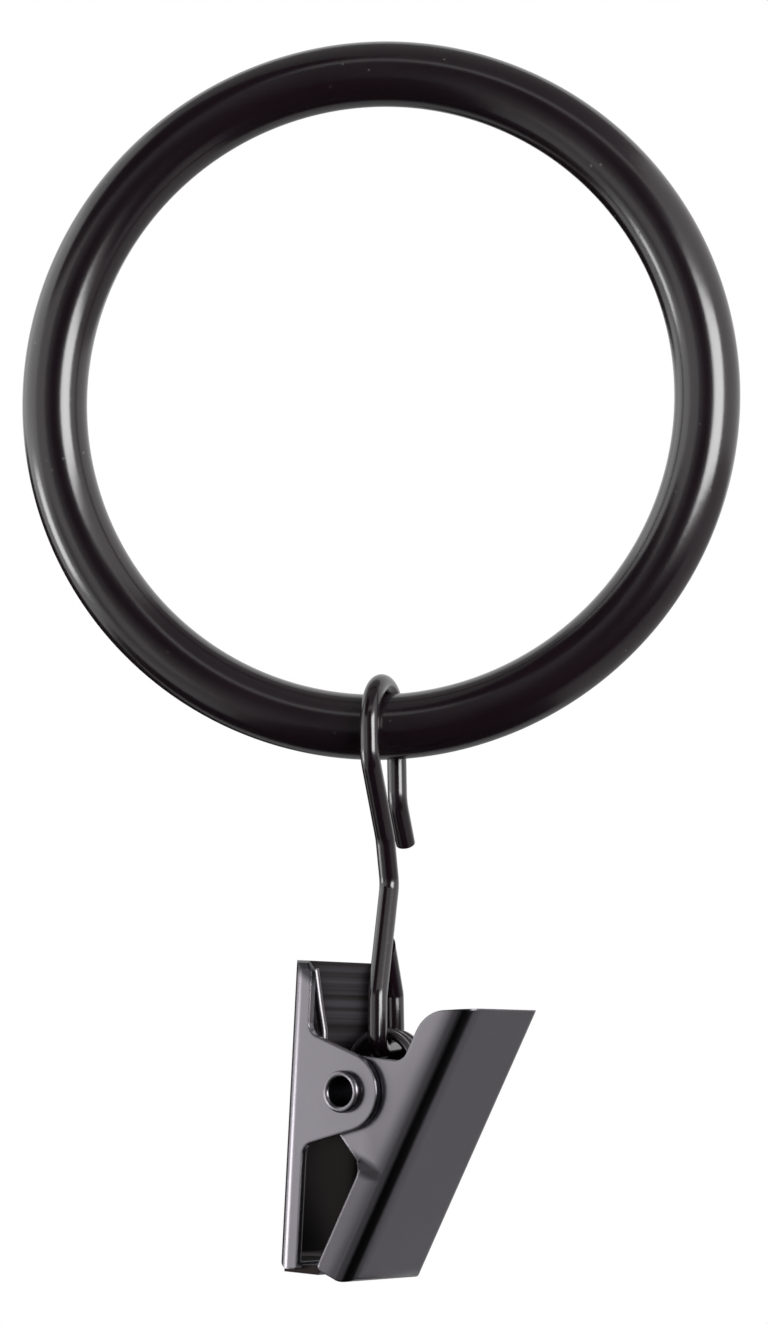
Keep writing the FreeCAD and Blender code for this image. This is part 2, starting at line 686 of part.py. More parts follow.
tip_point = in_hook(arch_radius + sheet.tip_out, back_foot - sheet.tip_drop)
hook_points = [
    tip_point,
    in_hook(arch_radius, back_foot),
    in_hook(arch_radius, arch_z + arch_radius),
    in_hook(-arch_radius, arch_z + arch_radius),
    in_hook(-arch_radius, arch_z - sheet.front_run),
    in_hook(sheet.waist_shift, arch_z - sheet.waist_drop),
    knee,
    shoulder,
    in_hook(near_leg, eye_z),
    in_hook(far_leg, eye_z),
    far_shoulder,
    neck_end,
]
full = arch_radius - sheet.arch_flat
hook_radii = [sheet.bend_hook, full, full, sheet.bend_hook, sheet.bend_hook, sheet.bend_knee,
              sheet.bend_hook, sheet.bend_eye, sheet.bend_eye, sheet.bend_eye]
hook_path = wire_path(hook_points, hook_radii)
hook_start = (hook_points[1] - hook_points[0]).normalize()
hook_shape = round_bar(hook_path, hook_points[0], hook_start, wire / 2, True)
# The sheared end of the eye lies along the loaded arm.
shear = Part.makeCylinder(wire / 2, sheet.neck_tip, neck_end, neck_dir)
plane_spot = knee + arm_side * (wire / 2 + sheet.neck_gap)
block = Part.makeBox(ring_bore, ring_bore, ring_bore, vec(-ring_bore / 2, -ring_bore / 2, 0))
block.Placement = FreeCAD.Placement(plane_spot, FreeCAD.Rotation(AXIS_Z, arm_side)).multiply(block.Placement)
hook_shape = hook_shape.fuse(shear.common(block)).removeSplitter()
hook = doc.addObject("Part::Feature", "wire_hook")
hook.Label = "wire_hook"
hook.Shape = hook_shape.Solids[0]

# Torsion spring: a coil round the rivet with a straight leg on the inside of each jaw.


def leg_foot(end_u, end_z, side):
    """Angle on the coil where a leg to this end leaves it; side is 1 on the left."""
    rise = end_z - coil_lift
    reach = math.hypot(end_u, rise)
    return math.atan2(rise, end_u) + side * math.acos(coil_radius / reach)


def leg_end(lean, web, sign):
    """End of a leg on the inner face of a web, in the clip's own plane."""
    off = sign * (web - sheet.gauge - sheet.spring_web_gap - sheet.spring_stock / 2)
    lean = math.radians(lean)
    return (off * math.cos(lean) + sheet.spring_reach * math.sin(lean),
            sheet.spring_reach * math.cos(lean) - off * math.sin(lean))


left_u, left_z = leg_end(sheet.outer_lean, sheet.outer_web, -1)
right_u, right_z = leg_end(sheet.inner_lean, sheet.inner_web, 1)
first_angle = leg_foot(left_u, left_z, 1)
last_angle = leg_foot(right_u, right_z, -1)
sweep_angle = last_angle - first_angle
while sweep_angle < 0:
    sweep_angle += 2 * math.pi
sweep_angle += 2 * math.pi * sheet.spring_rounds
rounds = sweep_angle / (2 * math.pi)
coil_length = rounds * sheet.spring_pitch


def on_coil(angle, along):
    return vec(coil_radius * math.cos(angle), along, coil_lift + coil_radius * math.sin(angle))


# The coil advances along the rivet as it goes round, and each end runs out into its leg.
coil_start = on_coil(first_angle, -coil_length / 2)
coil_end = on_coil(last_angle, coil_length / 2)
leg_room = sheet.gauge + sheet.spring_stock / 2 + sheet.leg_flange_gap
left_splay = jaw_width.value / 2 - leg_room
right_splay = narrow_width.value / 2 - leg_room
leg_one = vec(left_u, -left_splay, left_z)
leg_two = vec(right_u, right_splay, right_z)


def leg_points(foot, end, jog):
    """Points from a leg's end to its bend, which lies sideways of the straight run to the coil."""
    share = sheet.spring_knee / (end - foot).Length
    bend = foot + (end - foot) * share
    bend.y = jog
    count = int(sheet.leg_steps)
    return [end + (bend - end) * (i / count) for i in range(count + 1)]


def coil_points():
    """Points on the coil, without the stretch at each end that blends into a leg."""
    count = int(sheet.coil_steps * rounds)
    blend = sheet.coil_blend / coil_radius / sweep_angle
    shares = [blend + (1 - 2 * blend) * i / count for i in range(count + 1)]
    return [on_coil(first_angle + sweep_angle * t, coil_length * (t - 0.5)) for t in shares]


spring_points = leg_points(coil_start, leg_one, sheet.leg_lean - left_splay)
spring_points += coil_points()
spring_points += reversed(leg_points(coil_end, leg_two, right_splay - sheet.leg_lean))
spring_line = Part.BSplineCurve()
spring_line.interpolate(spring_points)
spring_wire = Part.Wire([spring_line.toShape()])
start_dir = spring_line.tangent(spring_line.FirstParameter)[0]
spring_shape = round_bar(spring_wire, leg_one, start_dir, sheet.spring_stock / 2, False)
spring = doc.addObject("Part::Feature", "torsion_spring")
spring.Label = "torsion_spring"
spring.Shape = spring_shape
spring.Placement = clip_place

doc.recompute()

# Places that the joints and mounts share.
bar_axis = hook_dir
rivet_axis = clip_turn.multVec(AXIS_Y)
eye_point = in_hook(sheet.eye_shift, eye_z)
print("ring bar centre", [0, 0, round(-(ring_bore + sheet.ring_stock) / 2, 4)])
print("eye bar", [round(c, 4) for c in eye_point], [round(c, 5) for c in bar_axis])
print("rivet", [round(c, 4) for c in pivot], [round(c, 5) for c in rivet_axis])
print("arch radius", round(arch_radius, 3), "coil rounds", round(rounds, 3))
for bar, path, stock in ((hook, hook_path, wire), (spring, spring_wire, sheet.spring_stock)):
    plain = path.Length * math.pi * stock ** 2 / 4
    print(bar.Label, "volume over section times length", round(bar.Shape.Volume / plain, 3))

NODES = [ring, hook, outer, inner, rivet, spring]
for thing in doc.Objects:
    if "Invalid" in thing.State or "Error" in thing.State:
        raise RuntimeError("%s did not recompute" % thing.Name)
for node in NODES:
    if node.Shape.isNull() or not node.Shape.isValid() or len(node.Shape.Solids) != 1:
        raise RuntimeError("%s is not one sound solid" % node.Label)
os.makedirs("parts", exist_ok=True)
for node in NODES:
    node.Shape.exportStep("parts/%s.step" % node.Label)
    print(node.Label, "volume", round(node.Shape.Volume, 2))
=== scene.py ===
# %% [markdown]
# # Curtain ring with clip
# The part hangs from a curtain rod: a black enamelled steel ring, a hook bent from one wire, and a
# small sprung clip of two folded sheet-steel jaws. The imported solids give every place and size, and
# this lesson gives them their skin: rounder wire, softer sheet edges and the black finishes.

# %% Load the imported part
import math

import bmesh
import bpy
import numpy as np
from mathutils import Matrix


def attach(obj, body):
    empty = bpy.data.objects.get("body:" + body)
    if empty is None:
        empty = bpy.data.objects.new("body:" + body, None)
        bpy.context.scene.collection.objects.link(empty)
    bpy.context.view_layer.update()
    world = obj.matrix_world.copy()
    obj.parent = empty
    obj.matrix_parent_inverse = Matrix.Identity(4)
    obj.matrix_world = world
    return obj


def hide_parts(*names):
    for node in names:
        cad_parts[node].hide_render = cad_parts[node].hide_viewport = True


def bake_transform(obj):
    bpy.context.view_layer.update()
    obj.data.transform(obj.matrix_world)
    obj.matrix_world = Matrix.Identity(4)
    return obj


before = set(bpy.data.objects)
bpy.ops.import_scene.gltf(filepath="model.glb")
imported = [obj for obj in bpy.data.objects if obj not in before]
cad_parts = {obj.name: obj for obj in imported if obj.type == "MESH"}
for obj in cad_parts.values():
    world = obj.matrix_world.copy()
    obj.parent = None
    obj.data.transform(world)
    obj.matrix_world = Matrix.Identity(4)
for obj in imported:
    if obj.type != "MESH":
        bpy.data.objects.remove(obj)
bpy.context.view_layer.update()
MM = 0.001
print("nodes", sorted(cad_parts))

# %% [markdown]
# ## Camera
# The ring is seen from a little below its middle and a little from the right, from about 240 mm with
# a long lens. The camera's matrix holds its right, up and backward directions as columns.

# %% Camera
RIGHT = (0.99303, 0.11667, -0.01644)
UP = (0.02375, -0.0615, 0.99782)
FORWARD = (-0.11541, 0.99126, 0.06384)
EYE = (27.826, -237.904, -32.296)
SENSOR, FOCAL_PIXELS, TALL_PIXELS = 36.0, 3745, 1324
CLIP_NEAR, CLIP_FAR = 0.01, 20.0


def place_camera():
    """Camera whose columns are right, up and minus forward; the sensor is the frame's long side."""
    data = bpy.data.cameras.new("camera")
    data.sensor_width = SENSOR
    data.lens = SENSOR * FOCAL_PIXELS / TALL_PIXELS
    data.clip_start, data.clip_end = CLIP_NEAR, CLIP_FAR
    matrix = np.eye(4)
    matrix[:3, 0], matrix[:3, 1], matrix[:3, 2] = RIGHT, UP, -np.array(FORWARD)
    matrix[:3, 3] = np.array(EYE) * MM
    camera = bpy.data.objects.new("camera", data)
    bpy.context.scene.collection.objects.link(camera)
    camera.matrix_world = Matrix(matrix.tolist())
    bpy.context.scene.camera = camera


place_camera()
print("lens", round(bpy.context.scene.camera.data.lens, 2), "mm")

# %% [markdown]
# ## Shader maths
# A finish is easier to read as sums and products than as a web of nodes, so a small class wraps a
# socket. Adding or multiplying two of them puts a Math node into the tree.

# %% Socket class
MIX_FACTOR, MIX_FIRST, MIX_SECOND, MIX_COLOUR = 0, 6, 7, 2


class Field:
    """One output socket of a node tree, with arithmetic."""

    def __init__(self, tree, socket):
        self.tree, self.socket = tree, socket

    def node(self, kind, settings=None, inputs=None, out=0):
        """Adds a node, sets it up, fills or links its inputs and returns one output."""
        made = self.tree.nodes.new(kind)
        for key, value in (settings or {}).items():
            setattr(made, key, value)
        for key, value in (inputs or {}).items():
            if isinstance(value, Field):
                self.tree.links.new(value.socket, made.inputs[key])
            else:
                made.inputs[key].default_value = value
        return Field(self.tree, made.outputs[out])

    def maths(self, operation, *values):
        """Math node with one operation on numbers or fields."""
        inputs = dict(enumerate(values))
        return self.node("ShaderNodeMath", {"operation": operation}, inputs)

    def __add__(self, other):
        return self.maths("ADD", self, other)

    def __sub__(self, other):
        return self.maths("SUBTRACT", self, other)

    def __rsub__(self, other):
        return self.maths("SUBTRACT", other, self)

    def __mul__(self, other):
        return self.maths("MULTIPLY", self, other)

    __radd__ = __add__

    def step(self, low, high):
        """Smooth step from 0 at low to 1 at high."""
        settings = {"interpolation_type": "SMOOTHSTEP"}
        inputs = {"Value": self, "From Min": low, "From Max": high}
        return self.node("ShaderNodeMapRange", settings, inputs)

    def mix(self, first, second):
        """Colour from first to second as this value goes from 0 to 1."""
        inputs = {MIX_FACTOR: self, MIX_FIRST: first, MIX_SECOND: second}
        return self.node("ShaderNodeMix", {"data_type": "RGBA"}, inputs, MIX_COLOUR)


# %% [markdown]
# ## Finish helpers
# Every finish starts from one Principled shader and the object's own coordinates, so that it stays on
# the piece when the piece moves.


# %% Finish helpers
def new_finish(name, **constants):
    """Material with one Principled shader; returns it, its shader node and its object coordinates."""
    material = bpy.data.materials.new(name)
    material.use_nodes = True
    shader = material.node_tree.nodes["Principled BSDF"]
    for key, value in constants.items():
        shader.inputs[key.replace("_", " ")].default_value = value
    start = Field(material.node_tree, None)
    place = start.node("ShaderNodeTexCoord", out="Object")
    return material, shader, place


def plug(shader, **fields):
    """Links fields to the shader's sockets."""
    for key, field in fields.items():
        field.tree.links.new(field.socket, shader.inputs[key.replace("_", " ")])


# %% [markdown]
# ## Patterns
# Three patterns are enough here: soft noise, noise in bands and small round specks. Their sizes are in
# millimetres, and each of them runs from 0 to 1.


# %% Patterns
def noise(place, size_mm, detail=2.0):
    """Noise whose lumps are about size_mm across, from 0 to 1."""
    inputs = {"Vector": place, "Scale": 1.0 / (size_mm * MM), "Detail": detail}
    return place.node("ShaderNodeTexNoise", None, inputs)


def along(place, direction):
    """Distance along a direction, in metres."""
    inputs = {0: place, 1: direction}
    return place.node("ShaderNodeVectorMath", {"operation": "DOT_PRODUCT"}, inputs, "Value")


def bands(distance, size_mm):
    """Noise that changes only with a distance, in lumps about size_mm long, from 0 to 1."""
    inputs = {"W": distance, "Scale": 1.0 / (size_mm * MM), "Detail": 2.0}
    return distance.node("ShaderNodeTexNoise", {"noise_dimensions": "1D"}, inputs)


def specks(place, spacing_mm, radius_share):
    """1 inside small round specks scattered about spacing_mm apart."""
    inputs = {"Vector": place, "Scale": 1.0 / (spacing_mm * MM)}
    return 1 - place.node("ShaderNodeTexVoronoi", None, inputs).step(0.0, radius_share)


# %% [markdown]
# ## Enamel
# The ring and the hook have a gloss black enamel: almost black with a little red in it, a soft skin and
# a few pale specks of dust. An enamel is not a metal, so it mirrors only about a sixteenth of the light
# that falls straight on it, and more at a slant.

# %% Enamel
ENAMEL_SPECULAR = 0.75
ENAMEL_DARK, ENAMEL_LIGHT = (0.0070, 0.0032, 0.0052, 1), (0.0112, 0.0056, 0.0088, 1)
ENAMEL_DUST = (0.2, 0.19, 0.18, 1)
SKIN_LUMP, SKIN_DEPTH, SKIN_STRENGTH = 0.5, 0.03, 0.1
SLOW_ROUGH, DUST_ROUGH = 0.06, 0.4


def black_enamel(name, rough, dusty):
    """Near-black gloss with a fine skin, and with specks of dust as strong as dusty, from 0 to 1."""
    material, shader, place = new_finish(name, Specular_IOR_Level=ENAMEL_SPECULAR)
    slow = noise(place, size_mm=6.0)
    patches = noise(place, size_mm=4.0).step(low=0.52, high=0.66)
    dust = specks(place, spacing_mm=0.9, radius_share=0.16) * patches * dusty
    shade = slow.mix(ENAMEL_DARK, ENAMEL_LIGHT)
    plug(shader, Base_Color=dust.mix(shade, ENAMEL_DUST))
    plug(shader, Roughness=rough + slow * SLOW_ROUGH + dust * DUST_ROUGH)
    lumps = noise(place, SKIN_LUMP, detail=3.0)
    bump = {"Strength": SKIN_STRENGTH, "Distance": SKIN_DEPTH * MM, "Height": lumps}
    plug(shader, Normal=place.node("ShaderNodeBump", None, bump))
    return material


RING_FINISH = black_enamel("ring_enamel", rough=0.17, dusty=0.7)
WIRE_FINISH = black_enamel("wire_enamel", rough=0.16, dusty=0.2)
print("enamels", RING_FINISH.name, WIRE_FINISH.name)

# %% [markdown]
# ## Plating
# The clip and its spring are plated black instead. A dark metal base gives their stronger mirror, with a
# slow change of colour and roughness. The edges of a stamped sheet are rolled a little and catch the
# light, so the finish turns its normal there. Beside the folds and at some corners, shade is painted
# darker into the colour.

# %% Plating
CLIP_TINT, CLIP_ROUGH, EDGE_ROLL = (0.18, 0.17, 0.188), 0.22, 0.2
SPRING_TINT, SPRING_ROUGH = (0.16, 0.152, 0.16), 0.3
# The last share darkens the colour where shade is painted.
DARK_SHARE, LIGHT_SHARE, PAINTED_SHADE_SHARE = 0.94, 1.06, 0.25
PLATING_DUST, PLATING_DUSTY = (0.4, 0.39, 0.38, 1), 0.3


def black_plating(name, tint, rough, roll_mm=0.0, shade_mask=None):
    """Dark mirror with rolled edges, with shade painted darker where the mask function, from 0 to 1, is
    high.
    """
    material, shader, place = new_finish(name, Metallic=1.0)
    slow = noise(place, size_mm=3.0)
    patches = noise(place, size_mm=3.0).step(low=0.55, high=0.65)
    dust = specks(place, spacing_mm=1.3, radius_share=0.08) * patches * PLATING_DUSTY
    shares = (DARK_SHARE, LIGHT_SHARE, PAINTED_SHADE_SHARE)
    dark, light, painted_dark = (tuple(c * share for c in tint) + (1,) for share in shares)
    colour = dust.mix(slow.mix(dark, light), PLATING_DUST)
    # The darkest colour is painted shade, laid on by the mask.
    plug(shader, Base_Color=shade_mask(place).mix(colour, painted_dark) if shade_mask else colour)
    plug(shader, Roughness=rough + slow * SLOW_ROUGH + dust * DUST_ROUGH)
    if roll_mm:
        plug(shader, Normal=place.node("ShaderNodeBevel", {"samples": 6}, {"Radius": roll_mm * MM}))
    return material


CLIP_FINISH = black_plating("clip_plating", CLIP_TINT, CLIP_ROUGH, EDGE_ROLL)
SPRING_FINISH = black_plating("spring_plating", SPRING_TINT, SPRING_ROUGH)
print("platings", CLIP_FINISH.name, SPRING_FINISH.name)

# %% [markdown]
# ## Turning arrays into pieces
# Each wire or turned piece is a grid of points: rows follow the piece, and each row closes round it.
# The helper joins the rows with quads and closes each end with a fan of triangles to one point.


# %% Grid to mesh
def skin(name, rows, poles=(None, None), loop=False):
    """Mesh of an (n, m, 3) grid in millimetres, closed round m, with an optional point at each end."""
    n, m = rows.shape[:2]
    index = np.arange(n * m).reshape(n, m)
    if loop:
        index = np.vstack([index, index[:1]])
    a, b = index[:-1], index[1:]
    quads = np.stack([a, np.roll(a, -1, 1), np.roll(b, -1, 1), b], -1).reshape(-1, 4)
    points, faces = [rows.reshape(-1, 3)], quads.tolist()
    for end, pole in zip((0, -1), poles):
        if pole is None:
            continue
        edge = index[end] if end else index[end][::-1]
        tip = np.full(m, n * m + len(points) - 1)
        faces += np.stack([edge, np.roll(edge, -1), tip], -1).tolist()
        points.append(np.reshape(pole, (1, 3)))
    mesh = bpy.data.meshes.new(name)
    mesh.from_pydata((np.vstack(points) * MM).tolist(), [], faces)
    mesh.shade_smooth()
    piece = bpy.data.objects.new(name, mesh)
    bpy.context.scene.collection.objects.link(piece)
    print(name, len(mesh.polygons), "faces")
    return piece


def dress(piece, material, body, node):
    """Gives a piece its finish and its place on a body, in the place of a CAD node."""
    piece.data.materials.clear()
    piece.data.materials.append(material)
    if body:
        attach(piece, body)
    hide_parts(node)


# %% [markdown]
# ## Ring
# The ring is a round bar bent into a closed circle. Its surface is a torus: a small circle of radius r
# carried round a large circle of radius R.

# %% Ring
RING_BORE, RING_BAR = 38.1, 4.2
RING_STEPS, BAR_STEPS = 384, 80


def ring_surface(across=0.5 * (RING_BORE + RING_BAR), bar=0.5 * RING_BAR):
    """x = (R + r cos v) cos u, z = (R + r cos v) sin u, y = r sin v, with R across and r bar."""
    u = np.linspace(0, 2 * np.pi, RING_STEPS, endpoint=False)[:, None]
    v = np.linspace(0, 2 * np.pi, BAR_STEPS, endpoint=False)[None, :]
    reach = across + bar * np.cos(v)
    return np.stack([reach * np.cos(u), bar * np.sin(v) + 0 * u, reach * np.sin(u)], -1)


ring = skin("ring_bar", ring_surface(), loop=True)
dress(ring, RING_FINISH, "ring", "ring")

# %% [markdown]
# ## Wire
# The hook and the spring are round wire. A path gives the middle line, and a circle is carried along
# it: each row is the path point plus r times the cosine and sine of two directions across the path.

# %% Path and tube
RUN_LEAST, BEND_LEAST = 2, 6


def unit(v):
    """Vectors scaled to length 1."""
    return v / np.linalg.norm(v, axis=-1, keepdims=True)


def bent_path(corners, radii, step=0.07):
    """Straight runs joined by tangent arcs of the given radii, as points about step apart."""
    pieces, at = [], corners[0]
    for corner, after, radius in zip(corners[1:-1], corners[2:], radii):
        back, ahead = unit(at - corner), unit(after - corner)
        bend = math.pi - math.acos(float(np.clip(back @ ahead, -1, 1)))
        trim = radius * math.tan(bend / 2)
        start = corner + back * trim
        centre = corner + unit(back + ahead) * radius / math.cos(bend / 2)
        run = max(int(np.linalg.norm(start - at) / step), RUN_LEAST)
        pieces.append(at + (start - at) * np.linspace(0, 1, run, endpoint=False)[:, None])
        count = max(int(radius * bend / step), BEND_LEAST)
        turn = np.linspace(0, bend, count, endpoint=False)[:, None]
        pieces.append(centre + (start - centre) * np.cos(turn) - back * radius * np.sin(turn))
        at = corner + ahead * trim
    run = max(int(np.linalg.norm(corners[-1] - at) / step), RUN_LEAST)
    pieces.append(at + (corners[-1] - at) * np.linspace(0, 1, run)[:, None])
    return np.vstack(pieces)


def tube(path, radius, across, sides=40):
    """Rows of a round tube: path + r (N cos a + B sin a), N the part of across normal to the path."""
    forward = unit(np.gradient(path, axis=0))
    normal = unit(across - (forward @ across)[:, None] * forward)
    other = np.cross(forward, normal)
    a = np.linspace(0, 2 * np.pi, sides, endpoint=False)
    spoke = normal[:, None] * np.cos(a)[:, None] + other[:, None] * np.sin(a)[:, None]
    return path[:, None] + radius * spoke


def domed(rows, end, depth, steps=6):
    """Rows with a dome of the given depth at one end (0 or -1), and the point that closes it."""
    rim, inner = rows[end], rows[1 if end == 0 else -2]
    centre = rim.mean(0)
    out = unit(centre - inner.mean(0))
    a = np.linspace(0, np.pi / 2, steps, endpoint=False)[1:, None, None]
    dome = centre + (rim - centre) * np.cos(a) + out * depth * np.sin(a)
    pole = centre + out * depth
    rows = np.vstack([dome[::-1], rows]) if end == 0 else np.vstack([rows, dome])
    return rows, pole


# %% [markdown]
# ## Hook
# One wire is bent in one plane: an arch over the ring, a free arm with a flared end, a loaded arm with
# a knee, and a house-shaped eye whose cut end lies on the loaded arm. The names of places along the
# plane end in S, and runs and drops are measured down from the middle of the arch.

# %% Hook's arch and eye
WIRE, HOOK_TURN = 1.25, math.radians(10.5)
HOOK_DIR = np.array([math.sin(HOOK_TURN), math.cos(HOOK_TURN), 0.0])
SIDE_GAP, SEAT_GAP = 0.12, 0.05
ARCH = RING_BAR / math.cos(HOOK_TURN) / 2 + SIDE_GAP + WIRE / 2
ARCH_Z = -RING_BORE / 2 + SEAT_GAP + WIRE / 2 - ARCH
COIL_ROUNDS, COIL_PITCH, COIL_WIRE, EYE_GAP = 3, 0.61, 0.58, 0.39
EYE_HALF = (COIL_PITCH * (COIL_ROUNDS - 1) + COIL_WIRE + WIRE + 2 * EYE_GAP) / 2
EYE_S, EYE_DROP, SHOULDER_DROP = -0.5, 20.4, 17.0
EYE_Z, SHOULDER_Z = ARCH_Z - EYE_DROP, ARCH_Z - SHOULDER_DROP
print("arch radius", round(ARCH, 3), "at height", round(ARCH_Z, 3))

# %% [markdown]
# ## Hook's corners
# The bent path needs the corners of the wire's middle line and the radius of each bend. The end of the
# eye aims at a point on the loaded arm and stops just short of it.

# %% Hook's corners
KNEE_S, KNEE_DROP, EYE_TAPER = 0.85, 9.95, 0.25
NECK_SHARE, NECK_GAP = 0.333, 0.02
FREE_RUN, TIP_OUT, TIP_TALL = 4.6, 1.65, 2.7
LOADED_RUN, WAIST_S, WAIST_DROP = 2.0, 0.05, 7.0
SOFT_BEND, KNEE_BEND, EYE_BEND, ARCH_FLAT = 2.2, 1.6, 0.9, 0.003
ARCH_BEND = ARCH - ARCH_FLAT


def in_hook(s, z):
    """Point of the hook's plane at s along it and height z."""
    return HOOK_DIR * s + np.array([0, 0, z])


KNEE = in_hook(KNEE_S, ARCH_Z - KNEE_DROP)
SHOULDER = in_hook(EYE_S - EYE_HALF + EYE_TAPER, SHOULDER_Z)
FAR_SHOULDER = in_hook(EYE_S + EYE_HALF, SHOULDER_Z)
ARM = unit(SHOULDER - KNEE)
ARM_SIDE = unit(HOOK_DIR - (HOOK_DIR @ ARM) * ARM)
NECK = unit(KNEE + ARM * (EYE_DROP - KNEE_DROP) * NECK_SHARE - FAR_SHOULDER)
NECK_LENGTH = ((FAR_SHOULDER - KNEE) @ ARM_SIDE - WIRE - NECK_GAP) / -(NECK @ ARM_SIDE)
HOOK_CORNERS = [
    in_hook(ARCH + TIP_OUT, ARCH_Z - FREE_RUN - TIP_TALL),
    in_hook(ARCH, ARCH_Z - FREE_RUN),
    in_hook(ARCH, ARCH_Z + ARCH),
    in_hook(-ARCH, ARCH_Z + ARCH),
    in_hook(-ARCH, ARCH_Z - LOADED_RUN),
    in_hook(WAIST_S, ARCH_Z - WAIST_DROP),
    KNEE,
    SHOULDER,
    in_hook(EYE_S - EYE_HALF, EYE_Z),
    in_hook(EYE_S + EYE_HALF, EYE_Z),
    FAR_SHOULDER,
    FAR_SHOULDER + NECK * NECK_LENGTH,
]
HOOK_RADII = [
    SOFT_BEND, ARCH_BEND, ARCH_BEND, SOFT_BEND, SOFT_BEND, KNEE_BEND, SOFT_BEND,
    EYE_BEND, EYE_BEND, EYE_BEND,
]
print("hook", len(HOOK_CORNERS), "corners,", len(HOOK_RADII), "bends")

# %% [markdown]
# ## Hook's wire
# The free end is slightly domed. The other end is sheared to lie on the loaded arm.

# %% Hook's wire
TIP_DOME, NECK_TIP, HOOK_SHARP = 0.16, 1.5, math.radians(50)


def hook_piece():
    """Tube along the hook's path; each line of the cut end runs on until it meets the loaded arm."""
    path = bent_path(HOOK_CORNERS, HOOK_RADII)
    rows = tube(path, WIRE / 2, np.cross(HOOK_DIR, (0, 0, 1.0)))
    rows, tip = domed(rows, 0, TIP_DOME)
    face = KNEE + ARM_SIDE * (WIRE / 2 + NECK_GAP)
    run = ((face - rows[-1]) @ ARM_SIDE) / (NECK @ ARM_SIDE)
    end = rows[-1] + NECK * np.clip(run, 0, NECK_TIP)[:, None]
    rows = np.vstack([rows, end[None]])
    return skin("hook_wire", rows, (tip, end.mean(0)))


hook = hook_piece()
hook.data.set_sharp_from_angle(angle=HOOK_SHARP)
dress(hook, WIRE_FINISH, "hook", "wire_hook")

# %% [markdown]
# ## Clip frame
# The clip hangs turned and tilted on the hook. Its own directions are U to the right, W along the rivet
# and P up, and the rivet's middle is its zero.

# %% Clip frame
TURN, TILT = math.radians(27.9), math.radians(2.8)
U = np.array([math.cos(TURN), -math.sin(TURN), 0.0])
W = np.array([math.sin(TURN) * math.cos(TILT), math.cos(TURN) * math.cos(TILT), -math.sin(TILT)])
P = np.cross(U, W)
COIL_BORE, RIVET_BAR, RIVET_GAP, HANG_GAP = 4.62, 2.3, 0.05, 0.12
COIL_LIFT = (COIL_BORE - RIVET_BAR) / 2 - RIVET_GAP
EYE_LIFT = COIL_LIFT + COIL_BORE / 2 - WIRE / 2 - HANG_GAP
PIVOT = HOOK_DIR * EYE_S + np.array([0, 0, EYE_Z - EYE_LIFT])


def in_clip(points):
    """Points given as (u, w, p) in the clip's frame, put into the part's frame."""
    return PIVOT + np.asarray(points) @ np.stack([U, W, P])


print("rivet middle", np.round(PIVOT, 3))

# %% [markdown]
# ## Rivet
# The jaws turn on a hollow rivet whose ends are rolled over. Half of its section, turned about W,
# gives it: a thin wall, and a rounded roll at each end.

# %% Rivet
JAW_WIDTH, GAUGE = 9.42, 0.5
HEAD_GAP, BORE_RING, ROLL_STEPS, RIVET_SHARP = 0.002, 0.6, 9, math.radians(40)


def rivet_section(half=JAW_WIDTH / 2, bore=0.92, barrel=RIVET_BAR / 2, head=1.32, rise=0.52, roll=0.19):
    """Closed (radius, place) outline: bore, rolled head and barrel of one end, then the mirror of it."""
    a = np.linspace(0, np.pi / 2, ROLL_STEPS)
    lip = np.stack([bore + roll - roll * np.cos(a), half + rise - roll + roll * np.sin(a)], 1)
    crown = np.stack([head - roll + roll * np.sin(a), half + rise - roll + roll * np.cos(a)], 1)
    under = np.array([[head, half + HEAD_GAP], [barrel, half + HEAD_GAP]])
    end = np.vstack([[[bore, half - BORE_RING]], lip, crown, under])
    return np.vstack([end, end[::-1] * (1, -1)])


def turned(section, sides=72):
    """(r cos a, place, r sin a) for each outline point and each angle a."""
    a = np.linspace(0, 2 * np.pi, sides, endpoint=False)
    r, y = section[:, :1], section[:, 1:]
    return in_clip(np.stack([r * np.cos(a), y + 0 * a, r * np.sin(a)], -1))


rivet = skin("rivet_tube", turned(rivet_section()), loop=True)
rivet.data.set_sharp_from_angle(angle=RIVET_SHARP)
dress(rivet, CLIP_FINISH, "outer_jaw", "tubular_rivet")

# %% [markdown]
# ## Spring
# A torsion spring goes round the rivet. Its coil is a helix, and each end runs out into a straight leg
# that presses on the inside of one jaw. The line to a leg's end leaves the coil as a tangent.

# %% Spring's legs
OUTER_LEAN, INNER_LEAN = math.radians(2.72), math.radians(27.4)
OUTER_WEB, INNER_WEB = 4.63, 5.7
COIL_R = (COIL_BORE + COIL_WIRE) / 2
FLANGE_GAP, EAR_GAP, WEB_GAP = 0.67, 0.08, 0.04
LEFT_SPLAY = JAW_WIDTH / 2 - GAUGE - COIL_WIRE / 2 - FLANGE_GAP
RIGHT_SPLAY = LEFT_SPLAY - GAUGE - EAR_GAP


def leg_tip(lean, web, sign, reach=7.5):
    """(u, p) of a leg's end, half a wire and a small gap off the inner face of a leaning web."""
    off = sign * (web - GAUGE - WEB_GAP - COIL_WIRE / 2)
    return np.array([off * math.cos(lean) + reach * math.sin(lean),
                     reach * math.cos(lean) - off * math.sin(lean)])


def leg_foot(tip, side):
    """Angle on the coil where the straight line to a leg's end leaves it."""
    rise = tip[1] - COIL_LIFT
    return math.atan2(rise, tip[0]) + side * math.acos(COIL_R / math.hypot(tip[0], rise))


LEFT_TIP, RIGHT_TIP = leg_tip(OUTER_LEAN, OUTER_WEB, -1), leg_tip(INNER_LEAN, INNER_WEB, 1)
print("leg ends", np.round(LEFT_TIP, 3), np.round(RIGHT_TIP, 3))

# %% [markdown]
# ## Spring's wire
# Guide points lie along both legs and the helix, and a smooth curve through them is the middle line.

# %% Spring's wire
ROUND = 2 * math.pi
ROUND_GUIDES, LEG_GUIDES, COIL_BLEND, SPRING_DOME = 16, 5, 0.5, 0.05


